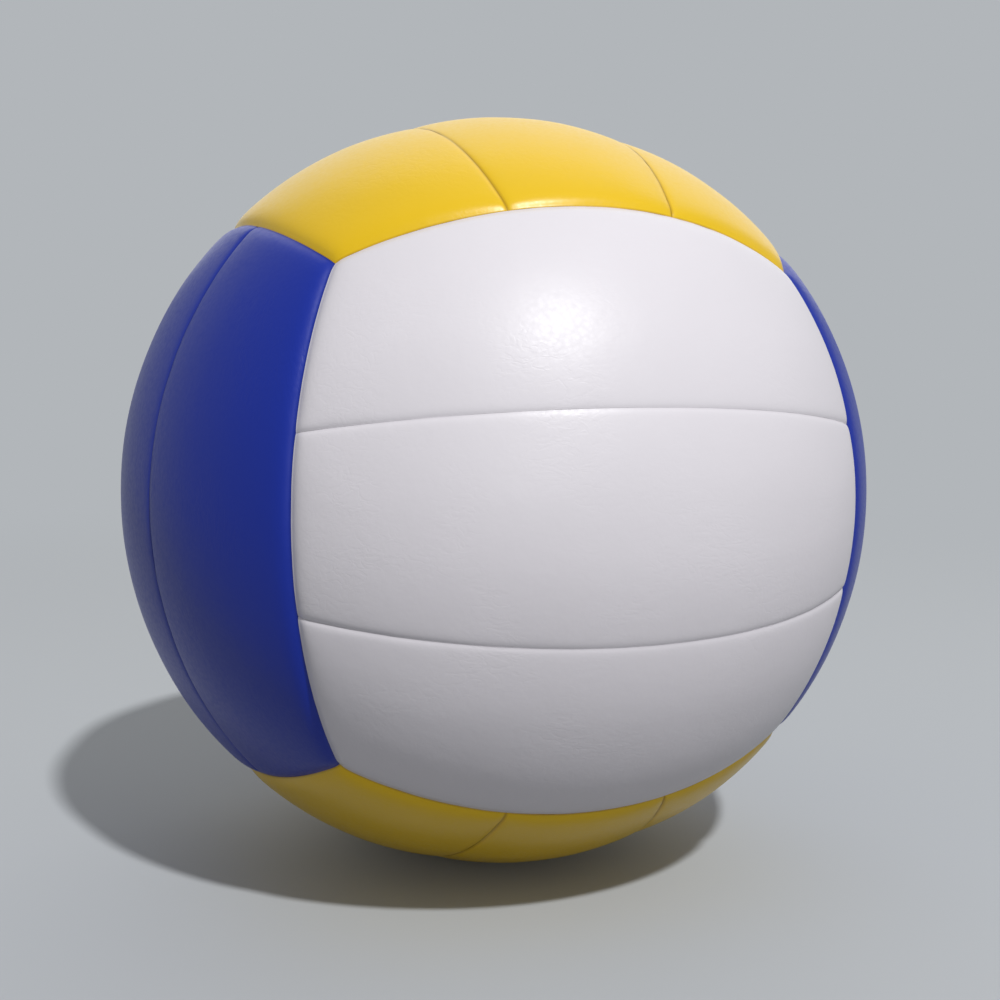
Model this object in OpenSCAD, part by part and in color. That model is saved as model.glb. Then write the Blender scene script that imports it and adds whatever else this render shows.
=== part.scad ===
// Beach volleyball: eighteen stitched panels over a bladder with a needle valve.
// Origin at the ball's centre, +Z up. The front face looks along -Y, the valve sits on +Y.
//
// The cover is a cube blown up to a ball. Each of its six faces holds three parallel strips,
// and the strips turn by a quarter from face to face. Every seam lies in a plane, so one
// middle strip and one side strip, drawn on the front face, serve for all eighteen panels.

/* [Ball] */
// Circumference over the crowns of the panels
circumference = 670; // [600:5:720]
// Angle from a face's centre to its strip seams, halfway along them
seam_angle = 15; // [13:0.5:17]

/* [Panel layers] */
// Thickness of the synthetic leather cover
cover_t = 1.0; // [0.6:0.1:1.2]
// Thickness of the foam under the cover
foam_t = 2.8; // [2.2:0.1:4]
// Thickness of the cloth lining
lining_t = 0.5; // [0.3:0.1:0.8]
// Glue line between two layers of a panel
glue_t = 0.1; // [0.05:0.05:0.2]

/* [Seams] */
// Gap between the turned-in edges of two panels
seam_gap = 0.2; // [0.1:0.05:0.4]
// Radius of the fold where the cover turns in at a seam
lip_r = 1.4; // [1.3:0.1:1.8]
// Width of the shoulder that falls from the crown of a panel to its fold
shoulder_w = 13; // [10:0.5:16]
// How far the cover lies below the crown at the seams between two faces
face_drop = 1.5; // [1:0.1:1.8]
// How far the cover lies below the crown at the seams between two strips
strip_drop = 1.0; // [0.6:0.1:1.4]
// Diameter of the sewing thread
thread_d = 0.6; // [0.4:0.1:0.8]
// Height of the thread over the inner end of the turned-in edges
thread_rise = 0.8; // [0.6:0.1:1]
// How far each run of thread stops short of the corner of the panels
thread_stop = 3; // [2:0.5:6]
// Clearance round the thread
thread_clearance = 0.05; // [0.02:0.01:0.1]

/* [Bladder] */
// Wall of the butyl bladder
bladder_t = 0.6; // [0.4:0.1:1]
// Clearance between the bladder and the cover round it
bladder_clearance = 0.1; // [0.05:0.05:0.3]
// Diameter of the balance patch opposite the valve
balance_d = 34; // [24:1:44]
// Thickness of the balance patch
balance_t = 1.4; // [0.8:0.1:2]

/* [Valve] */
// Diameter of the valve stem that fills the hole in the cover
stem_d = 8.5; // [7.5:0.5:11]
// How far the stem ends below the crown of the ball
stem_recess = 0.4; // [0.2:0.1:0.8]
// Clearance between the stem and the hole round it
stem_clearance = 0.2; // [0.1:0.05:0.4]
// Diameter of the flange that is bonded to the bladder
flange_d = 27; // [22:1:32]
// Thickness of that flange
flange_t = 1.2; // [0.8:0.1:1.8]
// Diameter of the reinforcing patch between the bladder and the flange
patch_d = 40; // [34:1:50]
// Thickness of the reinforcing patch
patch_t = 0.5; // [0.3:0.1:0.8]
// Length of the valve barrel inside the bladder
barrel_l = 15; // [13:0.5:20]
// Diameter of the barrel at the flange
barrel_d = 12; // [11:0.5:14]
// Diameter of the barrel at its inner end
barrel_end_d = 10; // [9:0.5:11]

/* [Valve plug] */
// Diameter of the plug's shank
plug_d = 4.8; // [4.4:0.2:5.6]
// Diameter of the collar that holds the plug in the barrel
collar_d = 6.6; // [6.2:0.2:7.4]
// Length of that collar
collar_l = 2.6; // [2:0.2:3.4]
// How far the collar lies above the inner end of the barrel
collar_rise = 4; // [3:0.5:6]
// Clearance between the plug and the barrel
plug_clearance = 0.1; // [0.05:0.05:0.2]
// Diameter of the channel that takes the inflation needle
needle_d = 2; // [1.6:0.1:2.2]
// Diameter of the funnel that guides the needle in
funnel_d = 3.2; // [2.6:0.2:3.8]
// Depth of the funnel
funnel_l = 0.8; // [0.4:0.1:1.2]

/* [Hidden] */
$fn = 256;

// Round sections as thin as the thread need fewer steps
thread_fn = 72;

// Overrun of the cuts past the surfaces that they open
overrun = 2;

// Angle by which the cuts along a seam run past its ends
cut_past = 5;

// Angle at which a shoulder leaves the crown of its panel
break_angle = 2.2;
// Share of its radius at which the centre of a fold lies inside the faces that it joins
fold_share = 0.98;
// Reach of the corner cuts round a fold, as a share of its radius
fold_reach_share = 2;

// Radii, from the crown inwards
crown_r = circumference / (2 * PI);
foam_depth = cover_t + glue_t;
lining_r = crown_r - foam_depth - foam_t - glue_t;
floor_r = lining_r - lining_t;
bladder_r = floor_r - bladder_clearance;
bladder_inner_r = bladder_r - bladder_t;
patch_r = bladder_inner_r - glue_t;
flange_r = patch_r - patch_t - glue_t;
barrel_top_r = flange_r - flange_t;
barrel_end_r = barrel_top_r - barrel_l;
thread_r = floor_r + thread_rise;

// A strip seam cuts the boundary of its face in thirds, and its plane leans to meet both ends
corner_angle = atan(1 / sqrt(2));
end_angle = corner_angle / 3;
lean = atan((sin(seam_angle) - sin(end_angle)) / (cos(seam_angle) - cos(end_angle) / sqrt(2)));
strip_offset = crown_r * sin(seam_angle - lean);
strip_half_angle = asin(cos(end_angle) / sqrt(2) / cos(seam_angle - lean));

// Each face: its name, its colour, the names of its strips, and how the front face turns into it
WHITE = "#E6E4E9";
BLUE = "#20308C";
YELLOW = "#F0C82F";
RISING = ["lower", "middle", "upper"];
DEEPENING = ["front", "middle", "rear"];
ACROSS = ["left", "middle", "right"];
FACES = [
    ["front", WHITE, RISING, 0, 0],
    ["back", WHITE, RISING, 180, 0],
    ["left", BLUE, DEEPENING, 0, 240],
    ["right", BLUE, DEEPENING, 180, 240],
    ["bottom", YELLOW, ACROSS, 0, 120],
    ["top", YELLOW, ACROSS, 180, 120],
];
SIDES = [-1, 0, 1];
LAYERS = ["panel", "foam", "lining"];

function strip_name(layer, face, side) = str(layer, "_", face[0], "_", face[2][side + 1]);

// A seam as seen from one panel: the turn that brings the Z axis to the seam's normal, pointing
// into the panel, and the Y axis to the middle of the seam; the distance of the seam's plane from
// the ball's centre along that normal; how far the cover drops there; half the seam's angle; and
// the normal of the mirror in which the panel has the same seam again, if it has
END_SEAM = [[0, 90, 225], 0, face_drop, corner_angle, [1, 0, 0]];
LONG_FACE_SEAM = [[135, 0, 0], 0, face_drop, corner_angle];
UNDER_STRIP_SEAM = [[180 - lean, 0, 0], -strip_offset, strip_drop, strip_half_angle, [0, 0, 1]];
OVER_STRIP_SEAM = [[lean, 0, 180], strip_offset, strip_drop, strip_half_angle];

// Seams across the ends of a strip, and along it, for the middle strip, 0, and the side strip, 1
ENDS = [END_SEAM];
function long_seams(strip) = strip == 0 ? [UNDER_STRIP_SEAM] : [OVER_STRIP_SEAM, LONG_FACE_SEAM];
function mirrors(seam) = is_undef(seam[4]) ? [[0, 0, 0]] : [[0, 0, 0], seam[4]];

// Where the shoulder of a seam leaves the crown, where it ends, and the circle through both,
// in the plane that holds the seam's normal. The first number is the distance from that normal.
function polar(r, angle) = [r * cos(angle), r * sin(angle)];
function wall(seam, inset) = seam[1] + seam_gap / 2 + inset;
function wall_angle(seam) = asin(wall(seam, 0) / crown_r);
function break_point_angle(seam) = wall_angle(seam) + shoulder_w / crown_r * 180 / PI;
function shoulder_radius(seam) =
    let (
        normal = polar(1, break_point_angle(seam) - break_angle),
        fall = polar(crown_r - seam[2], wall_angle(seam)) - polar(crown_r, break_point_angle(seam))
    ) -(fall * fall) / (2 * (fall * normal));
function shoulder_centre(seam) =
    polar(crown_r, break_point_angle(seam))
    - polar(shoulder_radius(seam), break_point_angle(seam) - break_angle);

// Sweeps a profile along a seam and its mirror image, past both ends by the angle
module along_seam(seam, past) {
    span = seam[3] + past;
    for (normal = mirrors(seam)) mirror(normal)
        rotate(seam[0]) rotate_extrude(start = 90 - span, angle = 2 * span) children();
}

// What lies outside the shoulders of the seams
module shoulder_cuts(seams, inset) for (seam = seams) {
    centre = shoulder_centre(seam);
    outside = crown_r + overrun;
    along_seam(seam, cut_past) difference() {
        polygon([
            centre,
            centre * outside / norm(centre),
            [outside, wall(seam, inset) - overrun],
            [centre[0], wall(seam, inset) - overrun],
        ]);
        translate(centre) circle(shoulder_radius(seam) - inset);
    }
}

// What lies outside the folds where the cover turns in at the seams
module fold_cuts(seams) for (seam = seams) {
    shoulder = shoulder_centre(seam);
    inside = fold_share * lip_r;
    height = wall(seam, inside);
    to_centre = shoulder_radius(seam) - inside;
    across = sqrt(pow(to_centre, 2) - pow(height - shoulder[1], 2));
    centre = [shoulder[0] + across, height];
    reach = fold_reach_share * lip_r;
    along_seam(seam, cut_past) difference() {
        polygon([
            centre,
            centre + (centre - shoulder) * reach / to_centre,
            centre + [reach, -reach],
            centre - [0, reach],
        ]);
        translate(centre) circle(lip_r);
    }
}

// Runs of thread in the planes of the seams
module thread_runs(seams, grow) for (seam = seams) {
    along = sqrt(pow(thread_r, 2) - pow(seam[1], 2));
    along_seam(seam, -thread_stop / crown_r * 180 / PI)
        translate([along, seam[1]]) circle(thread_d / 2 + grow, $fn = thread_fn);
}

// Wedge of the ball between the ends of the strips, seen from above
module end_wedge(inset) {
    reach = crown_r + overrun;
    tip = (seam_gap / 2 + inset) * sqrt(2);
    linear_extrude(2 * reach, center = true)
        polygon([[0, -tip], [reach - tip, -reach], [tip - reach, -reach]]);
}

// Wedge of the ball between the long sides of a strip, drawn in depth and height
module side_wedge(strip, inset) {
    reach = crown_r + overrun;
    tip = (seam_gap / 2 + inset) * sqrt(2);
    edge = seam_gap / 2 + inset;
    under = [for (deep = [0, reach]) (strip_offset - edge) / cos(lean) + deep * tan(lean)];
    over = (strip_offset + edge) / cos(lean);
    start = (tip + over) / (1 - tan(lean));
    outline = strip == 0
        ? [[0, -under[0]], [reach, -under[1]], [reach, under[1]], [0, under[0]]]
        : [[start, start - tip], [reach, over + reach * tan(lean)], [reach, reach - tip]];
    rotate([90, 0, -90]) linear_extrude(2 * reach, center = true) polygon(outline);
}

// Body of a strip on the front face, with all its outer surfaces set in by inset. What lies along
// the sides is cut before what lies across the ends, so that no two cuts of one step meet.
module strip_body(strip, inset) {
    difference() {
        difference() {
            intersection() {
                sphere(crown_r - inset);
                end_wedge(inset);
                side_wedge(strip, inset);
            }
            shoulder_cuts(long_seams(strip), inset);
        }
        shoulder_cuts(ENDS, inset);
    }
}

// The same with its folds rounded and the grooves for the thread, down to the cover's inner end
module strip_outside(strip) {
    difference() {
        difference() {
            difference() {
                difference() {
                    difference() {
                        strip_body(strip, 0);
                        sphere(floor_r);
                    }
                    fold_cuts(long_seams(strip));
                }
                fold_cuts(ENDS);
            }
            thread_runs(long_seams(strip), thread_clearance);
        }
        thread_runs(ENDS, thread_clearance);
    }
}

// The same for the side at the viewer's bottom or left, which is the other one mirrored
module on_side(side) {
    mirror([0, 0, side < 0 ? 1 : 0]) children();
}

// Turns the front face into the face
module on_face(face) {
    rotate(face[4], [1, 1, 1]) rotate([0, 0, face[3]]) children();
}

// Hole for the valve stem, bored out of the ball along the axis of the front face
module stem_hole() {
    rotate([90, 0, 0]) cylinder(h = crown_r + overrun, d = stem_d + 2 * stem_clearance);
}

// Disc of one layer inside the bladder, on the axis of the front face
module inner_disc(outer_r, thickness, diameter) {
    difference() {
        intersection() {
            sphere(outer_r);
            rotate([90, 0, 0]) cylinder(h = crown_r, d = diameter);
        }
        sphere(outer_r - thickness);
    }
}

function has_valve(face, side) = face[0] == "back" && side == 0;

// Cover of one panel: a tray with a crowned top, folded edges and turned-in sides
module panel(face, side) {
    strip = abs(side);
    color(face[1]) on_face(face) on_side(side) difference() {
        difference() {
            strip_outside(strip);
            strip_body(strip, cover_t);
        }
        if (has_valve(face, side)) stem_hole();
    }
}

// Foam that fills the tray, thinner towards the seams
module foam(face, side) {
    strip = abs(side);
    color("#D8D2B0") on_face(face) on_side(side) difference() {
        strip_body(strip, foam_depth);
        sphere(lining_r + glue_t);
        if (has_valve(face, side)) stem_hole();
    }
}

// Cloth on the inside of the foam
module lining(face, side) {
    strip = abs(side);
    color("#C9C6BE") on_face(face) on_side(side) difference() {
        intersection() {
            sphere(lining_r);
            end_wedge(foam_depth);
            side_wedge(strip, foam_depth);
        }
        sphere(floor_r);
        if (has_valve(face, side)) stem_hole();
    }
}

// Lock stitch that joins the turned-in edges, one run for each seam
module seam_thread() {
    color("#F2F0EA") for (face = FACES) on_face(face) {
        thread_runs(ENDS, 0);
        thread_runs(long_seams(0), 0);
    }
}

// Airtight ball inside the cover
module bladder() {
    color("#2B2B2D") difference() {
        sphere(bladder_r);
        sphere(bladder_inner_r);
        rotate([0, 0, 180]) stem_hole();
    }
}

// Patch inside the bladder that weighs as much as the valve across from it
module balance_patch() {
    color("#3A3A3C") inner_disc(patch_r, balance_t, balance_d);
}

// Ring that stiffens the bladder round the valve
module valve_patch() {
    color("#3A3A3C") rotate([0, 0, 180]) difference() {
        inner_disc(patch_r, patch_t, patch_d);
        stem_hole();
    }
}

// Outline of the plug, also cut out of the housing with grow as the clearance
module plug_form(grow) {
    bottom = barrel_end_r - (grow > 0 ? overrun : 0);
    collar_z = barrel_end_r + collar_rise - grow;
    translate([0, 0, bottom]) cylinder(h = crown_r + overrun - bottom, d = plug_d + 2 * grow);
    translate([0, 0, collar_z]) cylinder(h = collar_l / 2, d1 = plug_d, d2 = collar_d + 2 * grow);
    translate([0, 0, collar_z + collar_l / 2])
        cylinder(h = collar_l / 2 + 2 * grow, d = collar_d + 2 * grow);
}

// Moulded valve body: the stem through the cover, the flange on the patch and the barrel inside
module valve_housing() {
    color("#E2E0DC") rotate([-90, 0, 0]) difference() {
        union() {
            rotate([-90, 0, 0]) inner_disc(flange_r, flange_t, flange_d);
            intersection() {
                sphere(crown_r - stem_recess);
                translate([0, 0, barrel_top_r]) cylinder(h = crown_r - barrel_top_r, d = stem_d);
            }
            translate([0, 0, barrel_end_r])
                cylinder(h = barrel_l + flange_t / 2, d1 = barrel_end_d, d2 = barrel_d);
        }
        plug_form(plug_clearance);
    }
}

// Rubber plug that closes the barrel round the needle's channel
module valve_plug() {
    top = crown_r - stem_recess - plug_clearance;
    color("#26272A") rotate([-90, 0, 0]) difference() {
        intersection() {
            sphere(top);
            plug_form(0);
        }
        translate([0, 0, barrel_end_r - overrun])
            cylinder(h = top - barrel_end_r + 2 * overrun, d = needle_d);
        translate([0, 0, top - funnel_l])
            cylinder(h = funnel_l, d1 = needle_d, d2 = funnel_d);
    }
}

for (face = FACES) for (side = SIDES) {
    panel(face, side);
    foam(face, side);
    lining(face, side);
}
seam_thread();
bladder();
balance_patch();
valve_patch();
valve_housing();
valve_plug();
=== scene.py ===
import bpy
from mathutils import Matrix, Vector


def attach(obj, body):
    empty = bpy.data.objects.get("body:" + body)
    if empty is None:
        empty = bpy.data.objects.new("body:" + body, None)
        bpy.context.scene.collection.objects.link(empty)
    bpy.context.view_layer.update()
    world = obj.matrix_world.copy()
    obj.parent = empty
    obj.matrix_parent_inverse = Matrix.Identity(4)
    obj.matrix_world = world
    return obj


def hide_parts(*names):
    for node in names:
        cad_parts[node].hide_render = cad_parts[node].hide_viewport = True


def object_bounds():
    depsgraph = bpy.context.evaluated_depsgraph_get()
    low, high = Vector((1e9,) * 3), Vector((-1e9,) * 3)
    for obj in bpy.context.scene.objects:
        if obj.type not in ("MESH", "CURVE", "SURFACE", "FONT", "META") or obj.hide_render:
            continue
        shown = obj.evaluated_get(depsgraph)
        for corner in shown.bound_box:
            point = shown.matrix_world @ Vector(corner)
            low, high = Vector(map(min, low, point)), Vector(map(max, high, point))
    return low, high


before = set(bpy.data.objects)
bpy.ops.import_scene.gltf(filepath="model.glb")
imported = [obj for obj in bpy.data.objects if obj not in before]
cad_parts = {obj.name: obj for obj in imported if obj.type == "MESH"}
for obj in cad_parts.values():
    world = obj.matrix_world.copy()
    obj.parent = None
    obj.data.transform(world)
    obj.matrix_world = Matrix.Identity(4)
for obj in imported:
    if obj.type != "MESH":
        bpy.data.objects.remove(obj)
cad_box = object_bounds()

# %% [markdown]
# # A beach volleyball, dressed round its CAD frame
#
# The CAD model says where everything is: eighteen cover panels, the foam and cloth behind each,
# the thread, the bladder and the valve. This script keeps that frame and makes what the eye
# sees: the cover panels as smooth, slightly uneven sheets of synthetic leather, and the valve
# with its moulded edges. Everything is in metres, in the frame's own axes: the white front face
# looks along -Y, +Z is up, and the valve is at +Y.

# %% Tools and units
import math

import bpy
import numpy as np
from mathutils import Matrix, Vector, noise

MM = 0.001
scene = bpy.context.scene
scene.view_settings.view_transform = "Standard"

# %% [markdown]
# ## Camera
#
# The photograph was taken from close by, so the ball shows less than half of itself and its
# edges fall away quickly. Lens, distance and direction come from the ball's outline and from ten
# seams, followed across the picture: their places on the ball are known. They could be set by
# eye, but then every seam would be a little off. The camera stands 417 mm from the centre, a
# little to the left and above, and the ball stands upright.

# %% Camera
BALL_R = 0.5 * (cad_box[1][2] - cad_box[0][2])
CAMERA_DISTANCE = 416.5 * MM
CAMERA_FROM = Vector((-0.3298, -0.9400, 0.0876)).normalized()
CAMERA_BACK = Vector((-0.3336, -0.9380, 0.0941)).normalized()
CAMERA_UP = Vector((0.0302, 0.0891, 0.9956))
SENSOR = 36.0
FOCAL_SHARE = 1.409
CLIP_START = 10 * MM

right = CAMERA_UP.cross(CAMERA_BACK).normalized()
up = CAMERA_BACK.cross(right)
place = Matrix((right, up, CAMERA_BACK)).transposed().to_4x4()
place.translation = CAMERA_FROM * CAMERA_DISTANCE
camera_data = bpy.data.cameras.new("camera")
camera_data.sensor_width = SENSOR
camera_data.lens = SENSOR * FOCAL_SHARE
camera_data.clip_start = CLIP_START
camera = bpy.data.objects.new("camera", camera_data)
camera.matrix_world = place
scene.collection.objects.link(camera)
scene.camera = camera
print(f"camera: lens {camera_data.lens:.1f} mm at {tuple(round(c, 3) for c in place.translation)}")


# %% [markdown]
# ## Colours and nodes
#
# A hex colour is written for a screen, while a renderer works with amounts of light. One
# function turns the first into the second. Another adds a shader node, sets its values and
# links its inputs, which keeps each material readable as a list of what it is made of.

# %% Colours and nodes
def linear(hex_colour):
    """An sRGB hex colour as linear light, with alpha."""
    shares = [int(hex_colour[i:i + 2], 16) / 255 for i in (1, 3, 5)]
    return [c / 12.92 if c <= 0.04045 else ((c + 0.055) / 1.055) ** 2.4 for c in shares] + [1.0]


def add(tree, kind, links=None, values=None, **settings):
    """Adds a node of a kind, with its settings, its input values and the sockets linked to it."""
    made = tree.nodes.new(kind)
    for name, value in settings.items():
        setattr(made, name, value)
    for name, value in (values or {}).items():
        made.inputs[name].default_value = value
    for name, socket in (links or {}).items():
        tree.links.new(socket, made.inputs[name])
    return made


def new_material(name):
    """An empty material with its shader and output. The caller sets the shader."""
    material = bpy.data.materials.new(name)
    material.use_nodes = True
    tree = material.node_tree
    tree.nodes.clear()
    shader = add(tree, "ShaderNodeBsdfPrincipled")
    add(tree, "ShaderNodeOutputMaterial", {"Surface": shader.outputs["BSDF"]})
    return material, tree, shader


# %% [markdown]
# ## Floor, backdrop and light
#
# The ball stands on plain pale paper in a bright room. Near the ball the paper is lit like
# everything else and takes its shadow. Further off it fades to one even tone, the same that the
# world shows, so there is no horizon. A sweep of paper would do that too, but it would stand in
# the way of a camera that looks at the ball from behind.
#
# One small lamp stands where the photograph's lamp stood: high, in front, a little to the
# camera's right, and far enough off to light the ball evenly. The room's even light fills the
# shadows. Two wide weak lamps help it: one in front lifts the ball's lower half, one behind keeps
# its back readable. They are so wide that their reflections don't stand out.

# %% Floor and backdrop
def looked_at(tree):
    """1 where a thing is seen, plainly, mirrored or through glass, and 0 where it only lights."""
    path = add(tree, "ShaderNodeLightPath")
    ray = path.outputs["Is Camera Ray"]
    for other in ("Is Glossy Ray", "Is Transmission Ray"):
        ray = add(tree, "ShaderNodeMath", {0: ray, 1: path.outputs[other]},
                  operation="MAXIMUM").outputs["Value"]
    return ray


BACKDROP = linear("#B2B6BA")
# The paper is paler than it looks, because it isn't lit as brightly as the backdrop shines
PAPER = linear("#BCC0C4")
# What the paper sends back to the ball: mid grey, so that the ball keeps its darker underside
BOUNCE = linear("#6D7073")
PAPER_ROUGHNESS = 0.9
FLOOR_R = 4.0
FLOOR_STEPS = 96
# Between these distances from the ball, the paper fades to the backdrop's tone
FADE_FROM = 0.35
FADE_TO = 1.1

ring = [(FLOOR_R * math.cos(a), FLOOR_R * math.sin(a), -BALL_R)
        for a in np.linspace(0, 2 * math.pi, FLOOR_STEPS, endpoint=False)]
floor_mesh = bpy.data.meshes.new("floor")
floor_mesh.from_pydata(ring, [], [list(range(FLOOR_STEPS))])
floor = bpy.data.objects.new("floor", floor_mesh)
scene.collection.objects.link(floor)

paper, tree, shader = new_material("matt_paper")
shader.inputs["Roughness"].default_value = PAPER_ROUGHNESS
where = add(tree, "ShaderNodeTexCoord")
away = add(tree, "ShaderNodeVectorMath", {"Vector": where.outputs["Object"]}, operation="LENGTH")
fade = add(tree, "ShaderNodeMapRange", {"Value": away.outputs["Value"]},
           {"From Min": FADE_FROM, "From Max": FADE_TO}, interpolation_type="SMOOTHSTEP")
watched = looked_at(tree)
tone = add(tree, "ShaderNodeMix", {"Factor": watched}, data_type="RGBA")
tone.inputs[6].default_value = BOUNCE
tone.inputs[7].default_value = PAPER
tree.links.new(tone.outputs[2], shader.inputs["Base Color"])
plain = add(tree, "ShaderNodeEmission", values={"Color": BACKDROP})
seen = add(tree, "ShaderNodeMath", {0: fade.outputs["Result"], 1: watched}, operation="MULTIPLY")
mixed = add(tree, "ShaderNodeMixShader",
            {"Fac": seen.outputs["Value"], 1: shader.outputs["BSDF"], 2: plain.outputs["Emission"]})
output = next(n for n in tree.nodes if n.type == "OUTPUT_MATERIAL")
tree.links.new(mixed.outputs["Shader"], output.inputs["Surface"])
floor_mesh.materials.append(paper)
print(f"floor: {2 * FLOOR_R:.0f} m across, fading from {FADE_FROM} to {FADE_TO} m")

# %% World
ROOM_LIGHT = 0.24
world = bpy.data.worlds.new("room")
world.use_nodes = True
scene.world = world
tree = world.node_tree
tree.nodes.clear()
room = add(tree, "ShaderNodeBackground",
           values={"Color": linear("#FFFFFF"), "Strength": ROOM_LIGHT})
shown = add(tree, "ShaderNodeBackground", values={"Color": BACKDROP, "Strength": 1.0})
mixed = add(tree, "ShaderNodeMixShader",
            {"Fac": looked_at(tree), 1: room.outputs["Background"],
             2: shown.outputs["Background"]})
add(tree, "ShaderNodeOutputWorld", {"Surface": mixed.outputs["Shader"]})
print(f"world: lights with {ROOM_LIGHT} of full white from all sides")

# %% Lamps
LAMP_FROM = Vector((0.079, -0.655, 0.752)).normalized()
LAMP_DISTANCE = 4.0
LAMP_SIZE = 0.20
# A white sheet that faces a lamp sends back this share of full white
LAMP_LIGHT = 0.74
FILL_FROM = Vector((0.30, 0.78, 0.55)).normalized()
FILL_DISTANCE = 2.5
FILL_SIZE = 3.2
FILL_LIGHT = 0.28
FRONT_FROM = Vector((-0.15, -0.97, 0.19)).normalized()
FRONT_DISTANCE = 3.0
FRONT_SIZE = 1.2
FRONT_LIGHT = 0.12


def softbox(name, direction, distance, size, light):
    """A round lamp that faces the ball from a direction."""
    data = bpy.data.lights.new(name, "AREA")
    data.shape = "DISK"
    data.size = size
    data.energy = light * math.pi ** 2 * distance ** 2
    lamp = bpy.data.objects.new(name, data)
    lamp.matrix_world = direction.to_track_quat("Z", "Y").to_matrix().to_4x4()
    lamp.location = direction * distance
    scene.collection.objects.link(lamp)
    print(f"{name}: {data.energy:.1f} W, {size * 1000:.0f} mm across, {distance:.1f} m away")


softbox("softbox", LAMP_FROM, LAMP_DISTANCE, LAMP_SIZE, LAMP_LIGHT)
softbox("fill", FILL_FROM, FILL_DISTANCE, FILL_SIZE, FILL_LIGHT)
softbox("front", FRONT_FROM, FRONT_DISTANCE, FRONT_SIZE, FRONT_LIGHT)


# %% [markdown]
# ## Synthetic leather
#
# The cover of such a ball is polyurethane on a woven backing, pressed with a grained roller
# while it is warm. To the eye that gives three things. A satin skin, not a mirror: a
# roughness near 0.4 and an IOR a little under plastic's 1.5. Fine pebbles about a millimetre
# across, which only show where the light glances off. And short creases along the length of
# each strip, where the sheet was bent over the round foam.
#
# An image could carry all this, but procedural noise in real millimetres stays sharp close up
# and differs on every panel. The darker line in the seams is painted shade, with a little soil:
# it comes from a value stored in each mesh, the distance from the seam in millimetres.

# %% Synthetic leather
LEATHER_IOR = 1.45
# Pebbles: their width and height, and how much smoother the rubbed tops are than the pits
PEBBLE = 1.1 * MM
PEBBLE_HEIGHT = 0.010 * MM
RUBBED, PITTED = -0.04, 0.06
# Creases: their length, spacing and depth, a line's share of the noise, the patches they come in
CREASE_LENGTH = 5.5 * MM
CREASE_SPACING = 2.6 * MM
CREASE_DEPTH = 0.013 * MM
CREASE_LINE = 0.09
CREASED_FROM, CREASED_TO = 0.4, 0.62
PATCH_SIZE = 24 * MM
# The slow waves of a sheet pulled over foam
SOFT_WAVE = 5 * MM
SOFT_HEIGHT = 0.05 * MM
# Colour: its lightest and darkest clouds, and the width in mm, like the stored value, of the
# painted seam shade and soil
PALE_CLOUD, DARK_CLOUD = 1.025, 0.965
SOIL_AND_SHADE_WIDTH = 0.65


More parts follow.
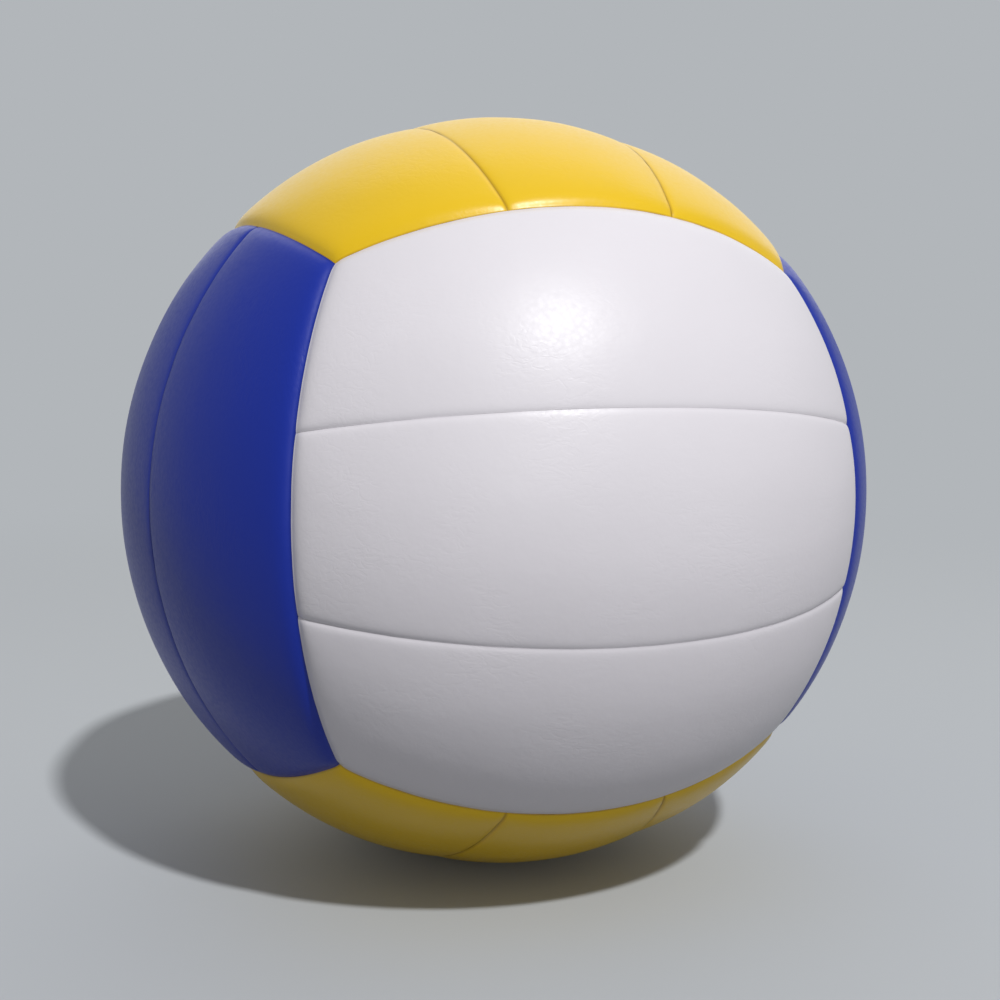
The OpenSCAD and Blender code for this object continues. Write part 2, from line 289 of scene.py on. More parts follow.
def synthetic_leather(name, colour, seam_soil_and_shade, along, roughness):
    """Grained polyurethane: its colour, its painted seam shade with a little soil, the axis of its
    creases, its gloss.
    """
    material, tree, shader = new_material(name)
    where = add(tree, "ShaderNodeTexCoord").outputs["Object"]
    stretch = [1 / CREASE_SPACING] * 3
    stretch["XYZ".index(along)] = 1 / CREASE_LENGTH
    lie = add(tree, "ShaderNodeMapping", {"Vector": where}, {"Scale": stretch})

    # Creases: thin lines where a stretched noise passes its middle, in patches
    patches = add(tree, "ShaderNodeTexNoise", {"Vector": where},
                  {"Scale": 1 / PATCH_SIZE, "Detail": 1.0})
    patchy = add(tree, "ShaderNodeMapRange", {"Value": patches.outputs["Fac"]},
                 {"From Min": CREASED_FROM, "From Max": CREASED_TO})
    bends = add(tree, "ShaderNodeTexNoise", {"Vector": lie.outputs["Vector"]},
                {"Scale": 1.0, "Detail": 2.5, "Roughness": 0.6, "Distortion": 0.5})
    middle = add(tree, "ShaderNodeMath", {0: bends.outputs["Fac"]}, {1: 0.5}, operation="SUBTRACT")
    off = add(tree, "ShaderNodeMath", {0: middle.outputs["Value"]}, operation="ABSOLUTE")
    lines = add(tree, "ShaderNodeMapRange", {"Value": off.outputs["Value"]},
                {"From Min": 0.0, "From Max": CREASE_LINE, "To Min": 1.0, "To Max": 0.0},
                interpolation_type="SMOOTHSTEP")
    creased = add(tree, "ShaderNodeMath",
                  {0: lines.outputs["Result"], 1: patchy.outputs["Result"]}, operation="MULTIPLY")

    # Pebbles from the grained roller, and the slow waves of a sheet pulled over foam
    pebbles = add(tree, "ShaderNodeTexVoronoi", {"Vector": where},
                  {"Scale": 1 / PEBBLE, "Smoothness": 0.7, "Randomness": 1.0},
                  feature="SMOOTH_F1")
    waves = add(tree, "ShaderNodeTexNoise", {"Vector": where},
                {"Scale": 1 / SOFT_WAVE, "Detail": 2.0})

    # Colour: a slight cloudiness, and painted shade with a little soil down in the seams
    clouds = add(tree, "ShaderNodeTexNoise", {"Vector": where},
                 {"Scale": 1 / (2 * PATCH_SIZE), "Detail": 3.0})
    cloudy = add(tree, "ShaderNodeMapRange", {"Value": clouds.outputs["Fac"]},
                 {"To Min": DARK_CLOUD, "To Max": PALE_CLOUD})
    seam = add(tree, "ShaderNodeAttribute", attribute_name="seam")
    # The seam distance drives the painted shade, with a little soil, that darkens the grooves and
    # walls
    soil_and_shade_mask = add(tree, "ShaderNodeMapRange", {"Value": seam.outputs["Fac"]},
               {"From Min": 0.0, "From Max": SOIL_AND_SHADE_WIDTH, "To Min": 1.0, "To Max": 0.0})
    tone = add(tree, "ShaderNodeMix", {"Factor": soil_and_shade_mask.outputs["Result"]}, data_type="RGBA")
    tone.inputs[6].default_value = linear(colour)
    tone.inputs[7].default_value = linear(seam_soil_and_shade)
    shade = add(tree, "ShaderNodeVectorMath",
                {0: tone.outputs[2], "Scale": cloudy.outputs["Result"]}, operation="SCALE")
    tree.links.new(shade.outputs["Vector"], shader.inputs["Base Color"])

    # Gloss: the tops of the pebbles are rubbed a little smoother
    sheen = add(tree, "ShaderNodeMapRange", {"Value": pebbles.outputs["Distance"]},
                {"From Min": 0.0, "From Max": 0.9, "To Min": roughness + RUBBED,
                 "To Max": roughness + PITTED})
    tree.links.new(sheen.outputs["Result"], shader.inputs["Roughness"])
    shader.inputs["IOR"].default_value = LEATHER_IOR

    # Relief, coarse to fine
    soft = add(tree, "ShaderNodeBump", {"Height": waves.outputs["Fac"]},
               {"Distance": SOFT_HEIGHT, "Strength": 1.0})
    bent = add(tree, "ShaderNodeBump", {"Height": creased.outputs["Value"],
                                        "Normal": soft.outputs["Normal"]},
               {"Distance": CREASE_DEPTH, "Strength": 1.0}, invert=True)
    grain = add(tree, "ShaderNodeBump", {"Height": pebbles.outputs["Distance"],
                                         "Normal": bent.outputs["Normal"]},
                {"Distance": PEBBLE_HEIGHT, "Strength": 1.0}, invert=True)
    tree.links.new(grain.outputs["Normal"], shader.inputs["Normal"])
    return material


# Each cover's second colour is its painted seam shade, with a little soil
covers = {
    "white": synthetic_leather("white_grained_polyurethane", "#E4E0E6", "#DAD6DC", "X", 0.40),
    "blue": synthetic_leather("blue_grained_polyurethane", "#062899", "#06248A", "Z", 0.38),
    "yellow": synthetic_leather("yellow_grained_polyurethane", "#EBC115", "#C2990F", "Y", 0.33),
}
print("covers:", ", ".join(m.name for m in covers.values()))

# %% [markdown]
# ## The shape of a panel
#
# A cover panel is a flat strip, stretched over a crowned foam pad and turned in along its
# edges, where it is sewn to its neighbours. So it has four regions: a top that follows the
# ball, wide shoulders that fall a little towards the seams, a narrow groove where the thread
# pulls the edge in, and a wall that goes down beside the neighbour's. Strips of one face meet in
# a shallow groove, a little deeper at the strips' ends. Two faces meet in a deep one. How deep
# and how wide they are was worked out from the shading across the photograph's seams.
#
# The seams all lie in planes, as on a cube blown up to a ball. That makes each panel a patch
# between two long seams and two end seams. One could cut it out of a sphere with booleans and
# bevel the edges, but the mesh would be ragged and the shading with it. Here each vertex is
# worked out instead: its row says how far it lies from the long seams, its column how far from
# the end seams, and both together say how far the cover drops there.

# %% Sizes of the cover
CROWN_R = BALL_R
SEAM_ANGLE = math.radians(15)
GAP = 0.05 * MM
# How far a face's cover reaches past the plane that the CAD model cuts it with
LAP = 1.15 * MM
SHOULDER = 20 * MM
SHOULDER_CURVE = 1.5
# Where two seams meet, their falls add up like this power of them, so the corner stays round
CORNER_POWER = 2.5
# Turns of the loop that brings each row onto its seam
SETTLE_STEPS = 12
# How far the cover falls over the shoulder and in the groove, the groove's width and roundness,
# and how much deeper it is at a strip's ends
STRIP_FALL = (0.70 * MM, 0.23 * MM, 0.75 * MM, 0.20 * MM, 1.5)
FACE_FALL = (0.35 * MM, 1.27 * MM, 1.55 * MM, 0.64 * MM, 0.0)
END_REACH = 30 * MM
# Spacing of the grid on the middle of a panel
SPACING = 2.5 * MM

corner = math.atan(math.sqrt(0.5))
third = corner / 3
lean = math.atan((math.sin(SEAM_ANGLE) - math.sin(third))
                 / (math.cos(SEAM_ANGLE) - math.cos(third) * math.sqrt(0.5)))
strip_offset = CROWN_R * math.sin(SEAM_ANGLE - lean)

# A long seam: height x first number - depth x second = third, and how far the cover falls there
STRIP_SEAM = (math.cos(lean), math.sin(lean), strip_offset, STRIP_FALL)
STRIP_SEAM_BELOW = (math.cos(lean), -math.sin(lean), -strip_offset, STRIP_FALL)
FACE_SEAM = (math.sqrt(0.5), math.sqrt(0.5), 0.0, FACE_FALL)
LONG_SEAMS = {0: (STRIP_SEAM_BELOW, STRIP_SEAM), 1: (STRIP_SEAM, FACE_SEAM)}

# Distances of the rows from a seam: close in the groove, then wider and wider up the shoulder
SEAM_ROWS = np.array((0, 0.15, 0.3, 0.5, 0.7, 0.95, 1.25, 1.6, 2.1, 2.8, 3.8, 5.2, 7, 9.2, 11.6,
                      14.2, 16.8)) * MM
print(f"strip seams lean {math.degrees(lean):.2f} degrees, {len(SEAM_ROWS)} rows beside a seam")


# %% A panel's top
def seam_fall(distance, fall, from_end=0.0):
    """How far the cover lies below the crown, at distances from its edge and the strip's end."""
    shoulder, groove, width, roundness, end_pull = fall
    pull = 1 + end_pull * np.exp(-from_end / END_REACH)
    return (shoulder * np.clip(1 - distance / SHOULDER, 0, 1) ** SHOULDER_CURVE
            + groove * pull * np.exp((roundness - np.hypot(distance, roundness)) / width))


def panel_top(strip, laps, spacing):
    """Grid of points on the front face: [row across][column along], with distances to seams."""
    below, above = LONG_SEAMS[strip]
    high_lap = laps[0] if strip == 1 else 0
    width = CROWN_R * (SEAM_ANGLE * 2 if strip == 0 else math.pi / 4 - SEAM_ANGLE)
    length = CROWN_R * math.pi / 2
    rows = 2 * round((width - 2 * SEAM_ROWS[-1]) / spacing / 2) - 1
    columns = 2 * round((length - 2 * SEAM_ROWS[-1]) / spacing / 2) - 1
    row_blend = np.arange(1, rows + 1) / (rows + 1)
    column_blend = np.arange(1, columns + 1) / (columns + 1)

    n = len(SEAM_ROWS)
    row_d = np.concatenate([SEAM_ROWS, np.full(rows, SHOULDER), SEAM_ROWS[::-1]])
    column_d = np.concatenate([SEAM_ROWS, np.full(columns, SHOULDER), SEAM_ROWS[::-1]])
    between_ends = SEAM_ROWS[-1] + column_blend * (length - 2 * SEAM_ROWS[-1])
    along = np.concatenate([SEAM_ROWS, between_ends, length - SEAM_ROWS[::-1]])
    from_end = np.minimum(along, length - along)
    row_fall = np.concatenate([seam_fall(SEAM_ROWS[:, None], below[3], from_end),
                               np.zeros((rows, len(along))),
                               seam_fall(SEAM_ROWS[:, None], above[3], from_end)[::-1]])
    end_fall = seam_fall(SEAM_ROWS, FACE_FALL)
    column_fall = np.concatenate([end_fall, np.zeros(columns), end_fall[::-1]])
    radius = CROWN_R - (row_fall ** CORNER_POWER
                        + column_fall[None, :] ** CORNER_POWER) ** (1 / CORNER_POWER)

    inside = GAP / 2 + SEAM_ROWS - laps[1]
    rise = np.zeros_like(radius)
    turn = np.zeros_like(radius)
    for _ in range(SETTLE_STEPS):
        def on_seam(seam, inset, index):
            slope = np.hypot(seam[0], seam[1] * np.cos(turn[index]))
            lift = np.arctan2(seam[1] * np.cos(turn[index]), seam[0])
            return np.arcsin((seam[2] + inset) / (radius[index] * slope)) + lift
        low = np.array([on_seam(below, GAP / 2 + d, i) for i, d in enumerate(SEAM_ROWS)])
        high = np.array([on_seam(above, high_lap - GAP / 2 - d, len(row_d) - 1 - i)
                         for i, d in enumerate(SEAM_ROWS)])[::-1]
        middle = low[-1] + (high[0] - low[-1]) * row_blend[:, None]
        rise = np.concatenate([low, middle, high])
        share = inside[None, :] / (radius[:, :n] * np.cos(rise[:, :n]))
        start = np.arcsin(share) - math.pi / 4
        end_share = inside[None, ::-1] / (radius[:, -n:] * np.cos(rise[:, -n:]))
        end = math.pi / 4 - np.arcsin(end_share)
        between = start[:, -1:] + (end[:, :1] - start[:, -1:]) * column_blend[None, :]
        turn = np.concatenate([start, between, end], axis=1)
    points = np.stack([radius * np.cos(rise) * np.sin(turn),
                       -radius * np.cos(rise) * np.cos(turn),
                       radius * np.sin(rise)], axis=-1)
    return points, np.minimum(row_d[:, None], column_d[None, :])


for strip, name in ((0, "middle"), (1, "side")):
    top, _ = panel_top(strip, (LAP, LAP), SPACING)
    size = 1000 * (top.reshape(-1, 3).max(0) - top.reshape(-1, 3).min(0))
    print(f"{name} strip: {top.shape[0]} x {top.shape[1]} points, "
          f"{size[0]:.1f} x {size[1]:.1f} x {size[2]:.1f} mm")

# %% [markdown]
# ## From the front face to all six
#
# The strips turn by a quarter from face to face, so the front face becomes the others by turns
# of a third about the ball's long diagonal, and of a half about its upright axis. The lower or
# left side strip is the upper one in a mirror, which also turns its faces inside out, so their
# order is turned back.
#
# Which cover reaches over the groove differs from seam to seam, as the sewing went: in the
# photograph the white ones reach past the middle on all their sides.

# %% Faces of the ball
# Names of the strips, the two turns, the colour
FACES = {
    "front": (("lower", "middle", "upper"), 0, 0, "white"),
    "back": (("lower", "middle", "upper"), 180, 0, "white"),
    "left": (("front", "middle", "rear"), 0, 240, "blue"),
    "right": (("front", "middle", "rear"), 180, 240, "blue"),
    "bottom": (("left", "middle", "right"), 0, 120, "yellow"),
    "top": (("left", "middle", "right"), 180, 120, "yellow"),
}
# How far a face's covers reach past the CAD's planes, at their long edges and at their ends:
# white over both other colours, while yellow and blue meet at the plane
LAPS = {"white": (LAP, LAP), "yellow": (0.0, -LAP), "blue": (-LAP, 0.0)}
DIAGONAL = Vector((1, 1, 1)).normalized()


def face_turn(upright, diagonal):
    """The matrix that turns the front face into another."""
    return np.array(Matrix.Rotation(math.radians(diagonal), 3, DIAGONAL)
                    @ Matrix.Rotation(math.radians(upright), 3, "Z"))


print("faces:", ", ".join(f"{name} {face[3]}" for name, face in FACES.items()))

# %% [markdown]
# ## Unevenness
#
# Two sheets cut with one tool still never look alike. A slow noise in the height of each
# panel, and a quicker one beside its seams, where the thread pulls, keep them apart. A random
# number for each vertex would give sandpaper, and other lumps in each run. Noise is a smooth
# function of place, so it comes out the same each time.

# %% Unevenness
PANEL_WAVE = 19 * MM
PANEL_SWELL = 0.08 * MM
# The swell lowers more than it lifts, so that no panel outgrows the ball
SWELL_MIDDLE = 0.5
PUCKER_WAVE = 4.5 * MM
PUCKER = 0.07 * MM
PUCKER_REACH = 5 * MM
# How far one panel's noise lies from the next one's
NOISE_STEP = (7.3, 3.1, 5.7)


def unevenness(points, distance, seed):
    """Radial moves: a slow swell over the panel, and puckers where the thread pulls its edge."""
    shift = Vector([seed * step for step in NOISE_STEP])
    moves = np.empty(len(points))
    for i, (point, d) in enumerate(zip(points, distance)):
        place = Vector(point)
        swell = noise.noise(place / PANEL_WAVE + shift)
        pucker = noise.noise(place / PUCKER_WAVE + shift)
        near = max(0.0, 1 - d / PUCKER_REACH)
        moves[i] = PANEL_SWELL * (swell - SWELL_MIDDLE) + PUCKER * pucker * near
    return moves


print(f"swell of {1000 * PANEL_SWELL:.2f} mm, puckers of {1000 * PUCKER:.2f} mm")

# %% [markdown]
# ## The walls
#
# The top's border is carried down in a few rings to where the real cover ends at the lining.
# The first ring still reaches as far as the cover does, the rest lie in the seam planes, and
# one of them leaves room for the thread.

# %% Walls of a panel
# Rings down a wall: depth below the crown, share of the reach left there, room for the thread
WALL_RINGS = ((2.4 * MM, 1, 0), (3.0 * MM, 0, 0), (3.35 * MM, 0, 0), (3.7 * MM, 0, 0.33 * MM),
              (4.05 * MM, 0, 0), (4.5 * MM, 0, 0))
# A border point belongs to a seam plane that is no further off than this
TOUCH = 0.02 * MM
WALL_SETTLE_STEPS = 6


def seam_planes(strip, laps, share, room):
    """Normals into the panel, and distances of its four walls from the ball's centre."""
    below, above = LONG_SEAMS[strip]
    half = math.sqrt(0.5)
    inset = GAP / 2 + room
    high, end = inset - share * (laps[0] if strip == 1 else 0), inset - share * laps[1]
    return [(np.array((0, below[1], below[0])), below[2] + inset),
            (np.array((0, -above[1], -above[0])), -above[2] + high),
            (np.array((half, -half, 0)), end),
            (np.array((-half, -half, 0)), end)]


def wall_point(point, radius, planes):
    """The point drawn in to a radius and moved onto the given seam planes."""
    moved = point * radius / np.linalg.norm(point)
    for _ in range(WALL_SETTLE_STEPS):
        for normal, c in planes:
            moved = moved + normal * (c - normal @ moved)
    return moved


def hang_walls(strip, laps, index, flat, vertices, faces, seam):
    """Adds the rings of a panel's four walls below its border."""
    border = (list(index[0, :-1]) + list(index[:-1, -1])
              + list(index[-1, :0:-1]) + list(index[:0:-1, 0]))
    edge_planes = seam_planes(strip, laps, 1, 0)
    touched = [[i for i, (n, c) in enumerate(edge_planes) if abs(n @ flat[top] - c) < TOUCH]
               for top in border]
    count = len(border)
    ring = border
    for depth, share, room in WALL_RINGS:
        planes = seam_planes(strip, laps, share, room)
        below = []
        for top, sides in zip(border, touched):
            below.append(len(vertices))
            vertices.append(wall_point(flat[top], CROWN_R - depth, [planes[i] for i in sides]))
            # Walls store their depth as a negative seam distance, so they get the full painted seam
            # shade
            seam.append(-depth)
        faces += [(ring[i], below[i], below[(i + 1) % count], ring[(i + 1) % count])
                  for i in range(count)]
        ring = below


print(f"walls: {len(WALL_RINGS)} rings, down to {1000 * WALL_RINGS[-1][0]:.1f} mm below the crown")

# %% [markdown]
# ## The hole for the valve
#
# The valve's hole needs a round edge in a square grid. A boolean would cut one and leave long
# thin triangles. Instead the squares round the panel's middle are drawn into circles, more so
# the nearer they are, the ones inside are left out, and the edge is rolled in. The cover dips
# a little towards the valve, which is bonded to the bladder under it.

# %% Hole in the grid
HOLE_R = 4.45 * MM
HOLE_FOLD = 0.5 * MM
HOLE_FOLD_STEPS = 4
# Lines of the grid between the hole's middle and its edge
HOLE_RING = 4
MORPH_REACH = 14 * MM
DIMPLE = 0.35 * MM
DIMPLE_REACH = 7 * MM


def draw_into_circles(points, flat, index, centre):
    """Moves the grid's points round its middle onto circles, and dips them towards the hole."""
    row_off = np.abs(points[:, centre[1], 2])
    column_off = np.abs(points[centre[0], :, 0])
    edge = max(row_off[centre[0] + HOLE_RING], column_off[centre[1] + HOLE_RING])
    start = HOLE_R + HOLE_FOLD
    for r, c in np.ndindex(index.shape):
        ring = max(abs(r - centre[0]), abs(c - centre[1]))
        x, _, z = flat[index[r, c]]
        if ring < HOLE_RING or math.hypot(x, z) > MORPH_REACH:
            continue
        out = max(0.0, max(row_off[r], column_off[c]) - edge) if ring > HOLE_RING else 0.0
        blend = min(1.0, out / (MORPH_REACH - start))
        blend = blend * blend * (3 - 2 * blend)
        scale = (start + out) / math.hypot(x, z) * (1 - blend) + blend
        x, z = x * scale, z * scale
        off = math.hypot(x, z)
        fall = DIMPLE * max(0.0, 1 - (off - start) / DIMPLE_REACH) ** 2
        flat[index[r, c]] = (x, -math.sqrt((CROWN_R - fall) ** 2 - off ** 2), z)


def roll_hole_in(index, centre, vertices, faces, seam):
    """Adds the rolled edge round the hole."""
    (r0, c0), k = centre, HOLE_RING
    rim = ([index[r0 - k, c] for c in range(c0 - k, c0 + k)]
           + [index[r, c0 + k] for r in range(r0 - k, r0 + k)]
           + [index[r0 + k, c] for c in range(c0 + k, c0 - k, -1)]
           + [index[r, c0 - k] for r in range(r0 + k, r0 - k, -1)])
    count = len(rim)
    ring = rim
    for angle in np.linspace(0, math.pi / 2, HOLE_FOLD_STEPS + 1)[1:]:
        inner = []
        for top in rim:
            x, y, z = vertices[top]
            scale = (HOLE_R + HOLE_FOLD * (1 - math.sin(angle))) / math.hypot(x, z)
            inner.append(len(vertices))
            vertices.append(np.array((x * scale, y + HOLE_FOLD * (1 - math.cos(angle)),
                                      z * scale)))
            seam.append(SHOULDER)
        faces += [(ring[(i + 1) % count], inner[(i + 1) % count], inner[i], ring[i])
                  for i in range(count)]
        ring = inner


print(f"hole: {2000 * HOLE_R:.1f} mm across")

# %% [markdown]
# ## One sheet
#
# A panel's outer sheet is its top, its walls and, in one panel, the hole. What is written down
# is only a list of points and a list of faces, so the pieces above can be tried one by one.

# %% Sheet of a panel
def panel_sheet(strip, laps, spacing, seed, hole=False):
    """Vertices, faces and seam distances of a panel's outer sheet, on the front face."""
    points, distance = panel_top(strip, laps, spacing)
    rows, columns = distance.shape
    flat, seam = points.reshape(-1, 3), list(distance.reshape(-1))
    index = np.arange(rows * columns).reshape(rows, columns)
    centre = (rows // 2, columns // 2)
    if hole:
        draw_into_circles(points, flat, index, centre)
    radii = np.linalg.norm(flat, axis=1)
    moves = unevenness(flat, seam, seed)
    vertices = [p * (r + m) / r for p, r, m in zip(flat, radii, moves)]

    faces = []
    for r, c in np.ndindex(rows - 1, columns - 1):
        gone = hole and (-HOLE_RING <= r - centre[0] < HOLE_RING
                         and -HOLE_RING <= c - centre[1] < HOLE_RING)
        if not gone:
            faces.append((index[r, c], index[r, c + 1], index[r + 1, c + 1], index[r + 1, c]))
    hang_walls(strip, laps, index, flat, vertices, faces, seam)
    if hole:
        roll_hole_in(index, centre, vertices, faces, seam)

    used = sorted({i for face in faces for i in face})
    new = {old: i for i, old in enumerate(used)}
    return (np.array([vertices[i] for i in used]), [[new[i] for i in f] for f in faces],
            [seam[i] for i in used])


# %% [markdown]
# ## Making the eighteen covers
#
# A Solidify modifier gives each sheet its millimetre. It could be written out as a second set
# of points, but the modifier does it evenly. It is applied at once, so what is kept is plain
# mesh. Where the sheet ends, at the lining, the shading is split along the sharp rim. Each cover
# rides on the ball's one body and replaces the CAD panel of its name.

# %% Cover panels
COVER_T = 1.0 * MM
RIM_ANGLE = math.radians(40)
# The panel with the hole has a finer grid
FINE_SPACING = 1.25 * MM


def keep_modifiers(piece):
    """Replaces a piece's mesh with the one that its modifiers make."""
    bpy.context.view_layer.update()
    shaped = bpy.data.meshes.new_from_object(
        piece.evaluated_get(bpy.context.evaluated_depsgraph_get()))
    piece.modifiers.clear()
    piece.data = shaped


def cover_panel(face, side, seed):
    """One cover panel, as a sheet with thickness, in its place on the ball."""
    names, upright, diagonal, colour = FACES[face]
    node = f"panel_{face}_{names[side + 1]}"
    hole = face == "back" and side == 0
    points, faces, seam = panel_sheet(abs(side), LAPS[colour], FINE_SPACING if hole else SPACING,
                                      seed, hole)
    if side < 0:
        points = points * (1, 1, -1)
        faces = [f[::-1] for f in faces]
    points = points @ face_turn(upright, diagonal).T
    mesh = bpy.data.meshes.new(f"cover_{face}_{names[side + 1]}")
    mesh.from_pydata(points.tolist(), [], faces)
    mesh.attributes.new("seam", "FLOAT", "POINT").data.foreach_set(
        "value", [1000 * s for s in seam])
    mesh.materials.append(covers[colour])
    piece = bpy.data.objects.new(mesh.name, mesh)
    scene.collection.objects.link(piece)
    skin = piece.modifiers.new("thickness", "SOLIDIFY")
    skin.thickness = COVER_T
    skin.offset = -1
    keep_modifiers(piece)
    piece.data.shade_smooth()
    piece.data.set_sharp_from_angle(angle=RIM_ANGLE)
    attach(piece, "root")
    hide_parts(node)
    return piece


panels = [cover_panel(face, side, seed + 6 * (side + 1))
          for seed, face in enumerate(FACES) for side in (-1, 0, 1)]
print(len(panels), "cover panels,", sum(len(p.data.polygons) for p in panels), "faces")

# %% [markdown]
# ## The valve
#
# The valve is one rubber moulding: a stem that fills the hole in the cover, a flange bonded to
# the bladder, and a barrel that hangs inside. A softer plug sits in it and closes round the
# needle. Both are turned forms, so each is one outline, swept round the valve's axis. The CAD
# solids have the same outlines with sharp edges, but a mould leaves none: here every edge that
# can be seen is rounded, the face is slightly dished, and the needle's way in is flared.

# %% Turned forms
TURN_STEPS = 96


def turned(name, outline):
    """A closed outline of distances from the axis and depths along +Y, in mm, swept round Y."""
    count = len(outline)
    points, faces = [], []
    for step in range(TURN_STEPS):
        angle = 2 * math.pi * step / TURN_STEPS
        points += [(r * MM * math.cos(angle), y * MM, r * MM * math.sin(angle))
                   for r, y in outline]
    for step in range(TURN_STEPS):
        here, there = step * count, (step + 1) % TURN_STEPS * count
        faces += [(here + i, here + (i + 1) % count, there + (i + 1) % count, there + i)
                  for i in range(count)]
    mesh = bpy.data.meshes.new(name)
    mesh.from_pydata(points, [], faces)
    mesh.shade_smooth()
    mesh.set_sharp_from_angle(angle=RIM_ANGLE)
    piece = bpy.data.objects.new(name, mesh)
    scene.collection.objects.link(piece)
    return piece


# Steps round an edge, and the most of a side that its roundings may take at each end
EDGE_STEPS = 5
SIDE_SHARE = 0.45


def rounded(corner_points, radius):
    """An outline whose corners are rounded by a radius in mm, less where they are too close."""
    outline = []
    count = len(corner_points)
    for i in range(count):
        before, here, after = (Vector(corner_points[j % count]) for j in (i - 1, i, i + 1))
        back, on = before - here, after - here
        reach = min(radius, SIDE_SHARE * back.length, SIDE_SHARE * on.length)
        start, end = here + back.normalized() * reach, here + on.normalized() * reach
        for share in np.linspace(0, 1, EDGE_STEPS):
            outline.append((start * (1 - share) ** 2 + here * 2 * share * (1 - share)
                            + end * share ** 2)[:])
    return outline


print(f"turned forms: {TURN_STEPS} steps round, {EDGE_STEPS} round each edge")

# %% Valve housing and plug
# In millimetres: radii first, then depths
MOULD_EDGE = 0.45
STEM_R, FLANGE_R, BARREL_R, BARREL_END_R = 4.25, 13.5, 5.95, 5.0
BORE_R, POCKET_R = 2.5, 3.4
PLUG_R, COLLAR_R, NEEDLE_R = 2.4, 3.3, 1.0
CROWN = CROWN_R / MM
FACE_Y = CROWN - 0.42
FLANGE_TOP, FLANGE_BOTTOM, BARREL_END = CROWN - 5.9, CROWN - 7.1, CROWN - 22.1


def on_ball(distance, radius):
    """Depth of a point on a ball of that radius, at a distance from the valve's axis."""
    return math.sqrt(radius ** 2 - distance ** 2)


housing_corners = [
    (BORE_R, FACE_Y - 0.25), (3.3, FACE_Y - 0.25), (3.6, FACE_Y), (STEM_R, FACE_Y - 0.06),
    (STEM_R, on_ball(STEM_R, FLANGE_TOP)), (9.0, on_ball(9.0, FLANGE_TOP)),
    (FLANGE_R, on_ball(FLANGE_R, FLANGE_TOP)), (FLANGE_R, on_ball(FLANGE_R, FLANGE_BOTTOM)),
    (9.5, on_ball(9.5, FLANGE_BOTTOM)), (BARREL_R, on_ball(BARREL_R, FLANGE_BOTTOM)),
    (BARREL_END_R, BARREL_END), (BORE_R, BARREL_END),
    (BORE_R, BARREL_END + 3.9), (POCKET_R, BARREL_END + 5.2), (POCKET_R, BARREL_END + 6.7),
    (BORE_R, BARREL_END + 6.7),
]
plug_corners = [
    (NEEDLE_R, FACE_Y - 1.05), (1.35, FACE_Y - 0.5), (2.0, FACE_Y - 0.12), (PLUG_R, FACE_Y - 0.3),
    (PLUG_R, BARREL_END + 6.6), (COLLAR_R, BARREL_END + 6.6), (COLLAR_R, BARREL_END + 5.3),
    (PLUG_R, BARREL_END + 4.0), (PLUG_R, BARREL_END), (NEEDLE_R, BARREL_END),
]
housing = turned("valve_moulding", rounded(housing_corners, MOULD_EDGE))
plug = turned("valve_needle_plug", rounded(plug_corners, MOULD_EDGE))
for piece, node, slot in ((housing, "valve_housing", "valve_rubber"),
                          (plug, "valve_plug", "plug_rubber")):
    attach(piece, "root")
    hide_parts(node)
    print(piece.name, len(piece.data.polygons), "faces")

# %% [markdown]
# ## Rubber
#
# The bladder, its patches and the valve are rubber, but not one rubber. Butyl holds air best
# and is black and dull, with a bloom of talc from its mould. The valve is natural rubber
# filled with white chalk, moulded in polished steel, so it is smoother. Rubber's IOR is about
# 1.52. All of them are the same recipe with other numbers: a base colour, a dust that lies in
# clouds, and the fine tooth of the mould.

# %% Rubber
RUBBER_IOR = 1.52
DUST_CLOUD = 9 * MM
DUST_FROM, DUST_FULL = 0.35, 0.75
DUST_DULLS = 0.15


def moulded_rubber(name, colour, dust, dusty, roughness, tooth, depth):
    """Rubber: its colour, its dust and how much of it, its gloss, and the tooth of its mould."""
    material, tree, shader = new_material(name)
    where = add(tree, "ShaderNodeTexCoord").outputs["Object"]
    clouds = add(tree, "ShaderNodeTexNoise", {"Vector": where},
                 {"Scale": 1 / DUST_CLOUD, "Detail": 5.0, "Roughness": 0.65})
    cover = add(tree, "ShaderNodeMapRange", {"Value": clouds.outputs["Fac"]},
                {"From Min": DUST_FROM, "From Max": DUST_FULL, "To Min": 0.0, "To Max": dusty})
    tone = add(tree, "ShaderNodeMix", {"Factor": cover.outputs["Result"]}, data_type="RGBA")
    tone.inputs[6].default_value = linear(colour)
    tone.inputs[7].default_value = linear(dust)
    tree.links.new(tone.outputs[2], shader.inputs["Base Color"])
    dull = add(tree, "ShaderNodeMapRange", {"Value": cover.outputs["Result"]},
               {"From Max": dusty, "To Min": roughness, "To Max": roughness + DUST_DULLS})
    tree.links.new(dull.outputs["Result"], shader.inputs["Roughness"])
    shader.inputs["IOR"].default_value = RUBBER_IOR
    teeth = add(tree, "ShaderNodeTexNoise", {"Vector": where},
                {"Scale": 1 / tooth, "Detail": 3.0})
    relief = add(tree, "ShaderNodeBump", {"Height": teeth.outputs["Fac"]},
                 {"Distance": depth, "Strength": 1.0})
    tree.links.new(relief.outputs["Normal"], shader.inputs["Normal"])
    return material


butyl = moulded_rubber("talced_butyl_rubber", "#26262A", "#8F8C88", 0.35, 0.55, 0.8 * MM,
                       0.05 * MM)
patch_rubber = moulded_rubber("vulcanised_butyl_patch", "#333336", "#8F8C88", 0.2, 0.6,
                              0.5 * MM, 0.04 * MM)
valve_rubber = moulded_rubber("moulded_white_natural_rubber", "#DEDCD6", "#BDB7AA", 0.4, 0.42,
                              0.6 * MM, 0.015 * MM)
plug_rubber = moulded_rubber("moulded_black_soft_rubber", "#1D1E21", "#5A5954", 0.35, 0.45,
                             0.4 * MM, 0.01 * MM)
housing.data.materials.append(valve_rubber)
plug.data.materials.append(plug_rubber)
print("rubbers:", ", ".join(m.name for m in (butyl, patch_rubber, valve_rubber, plug_rubber)))

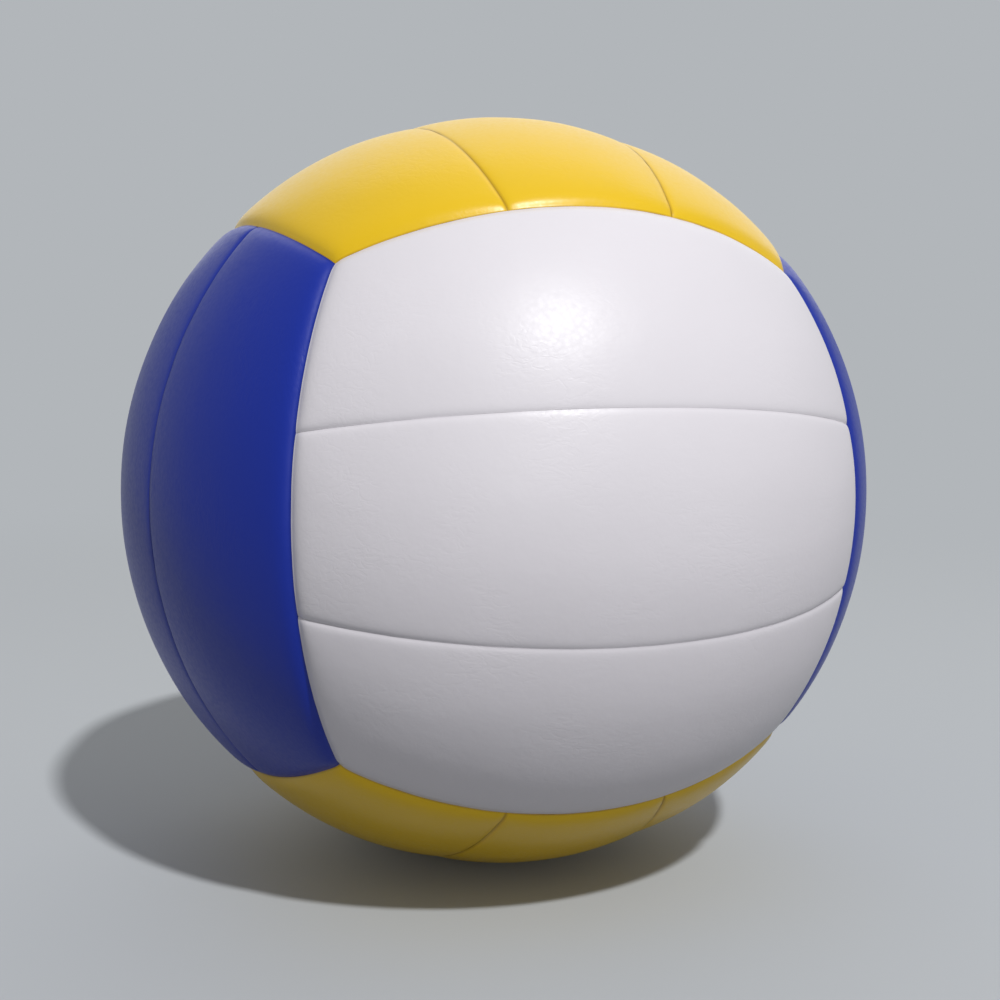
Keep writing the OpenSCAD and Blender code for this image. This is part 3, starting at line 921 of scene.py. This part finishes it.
# %% [markdown]
# ## Sponge, cloth and thread
#
# Nothing of these shows while the ball is whole, but a designer who takes a panel off should
# see what is behind it. The sponge is closed-cell: a skin of small bubbles. The lining is
# plain-woven cotton, and the thread is twisted polyester, bonded so that it sews cleanly. The
# weave is drawn with waves along two axes, so each face of the ball has cotton of its own.

# %% Sponge
CELL = 0.9 * MM
CELL_DEPTH = 0.15 * MM
SPONGE_ROUGHNESS = 0.85


def sponge(name, colour, skin):
    """Closed-cell foam: bubbles of two shades with thin walls between them."""
    material, tree, shader = new_material(name)
    where = add(tree, "ShaderNodeTexCoord").outputs["Object"]
    cells = add(tree, "ShaderNodeTexVoronoi", {"Vector": where}, {"Scale": 1 / CELL})
    tone = add(tree, "ShaderNodeMix", {"Factor": cells.outputs["Distance"]}, data_type="RGBA")
    tone.inputs[6].default_value = linear(colour)
    tone.inputs[7].default_value = linear(skin)
    tree.links.new(tone.outputs[2], shader.inputs["Base Color"])
    relief = add(tree, "ShaderNodeBump", {"Height": cells.outputs["Distance"]},
                 {"Distance": CELL_DEPTH, "Strength": 1.0})
    tree.links.new(relief.outputs["Normal"], shader.inputs["Normal"])
    shader.inputs["Roughness"].default_value = SPONGE_ROUGHNESS
    return material


foam = sponge("closed_cell_polyethylene_foam", "#D2CBA6", "#E8E3C8")
print(f"{foam.name}: bubbles of {1000 * CELL:.1f} mm")

# %% Cloth
# At scale 1 the wave texture repeats after a 20th of a full turn in radians
WAVE = 2 * math.pi / 20
YARN = 0.7 * MM
YARN_DEPTH = 0.12 * MM
COTTON_ROUGHNESS = 0.9
COTTON_SHEEN = 0.2


def woven_cotton(name, colour, shadow, axes):
    """Plain weave: the colour of its yarns, the painted shade between them, and the axes they lie
    along.
    """
    material, tree, shader = new_material(name)
    where = add(tree, "ShaderNodeTexCoord").outputs["Object"]
    warp, weft = (add(tree, "ShaderNodeTexWave", {"Vector": where}, {"Scale": WAVE / YARN},
                      bands_direction=axis).outputs["Fac"] for axis in axes)
    weave = add(tree, "ShaderNodeMath", {0: warp, 1: weft}, operation="MULTIPLY").outputs["Value"]
    tone = add(tree, "ShaderNodeMix", {"Factor": weave}, data_type="RGBA")
    tone.inputs[6].default_value = linear(shadow)
    tone.inputs[7].default_value = linear(colour)
    tree.links.new(tone.outputs[2], shader.inputs["Base Color"])
    relief = add(tree, "ShaderNodeBump", {"Height": weave},
                 {"Distance": YARN_DEPTH, "Strength": 1.0})
    tree.links.new(relief.outputs["Normal"], shader.inputs["Normal"])
    shader.inputs["Roughness"].default_value = COTTON_ROUGHNESS
    shader.inputs["Sheen Weight"].default_value = COTTON_SHEEN
    return material


cottons = {axes: woven_cotton(f"plain_woven_cotton_{axes.lower()}", "#D6D2C8", "#A39E92", axes)
           for axes in ("XZ", "YZ", "XY")}
print(f"cotton for {len(cottons)} directions: yarns of {1000 * YARN:.1f} mm")

# %% Thread
TWIST = 0.9 * MM
PLY_BEND = 0.4
PLY_DEPTH = 0.08 * MM
THREAD_ROUGHNESS = 0.5


def twisted_thread(name, colour, shadow):
    """Twisted filament thread: slanting plies with painted shade in the lines between them."""
    material, tree, shader = new_material(name)
    where = add(tree, "ShaderNodeTexCoord").outputs["Object"]
    plies = add(tree, "ShaderNodeTexWave", {"Vector": where},
                {"Scale": 2 * WAVE / TWIST, "Distortion": PLY_BEND}, bands_direction="DIAGONAL")
    tone = add(tree, "ShaderNodeMix", {"Factor": plies.outputs["Fac"]}, data_type="RGBA")
    tone.inputs[6].default_value = linear(shadow)
    tone.inputs[7].default_value = linear(colour)
    tree.links.new(tone.outputs[2], shader.inputs["Base Color"])
    relief = add(tree, "ShaderNodeBump", {"Height": plies.outputs["Fac"]},
                 {"Distance": PLY_DEPTH, "Strength": 1.0})
    tree.links.new(relief.outputs["Normal"], shader.inputs["Normal"])
    shader.inputs["Roughness"].default_value = THREAD_ROUGHNESS
    return material


thread = twisted_thread("bonded_polyester_thread", "#F0EEE8", "#B8B4AA")
print(f"{thread.name}: a twist every {1000 * TWIST:.1f} mm")

# %% Materials of the nodes that stay
# The two axes that the cloth of each face lies along
CLOTH_AXES = {"front": "XZ", "back": "XZ", "left": "YZ", "right": "YZ", "top": "XY",
              "bottom": "XY"}

for name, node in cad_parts.items():
    kind, *rest = name.split("_")
    finish = {"foam": foam, "seam": thread, "bladder": butyl, "balance": patch_rubber}.get(kind)
    if kind == "lining":
        finish = cottons[CLOTH_AXES[rest[0]]]
    if name == "valve_patch":
        finish = patch_rubber
    if finish:
        node.material_slots[0].material = finish
print(sum(m.use_nodes for m in bpy.data.materials), "materials in use or in the frame")
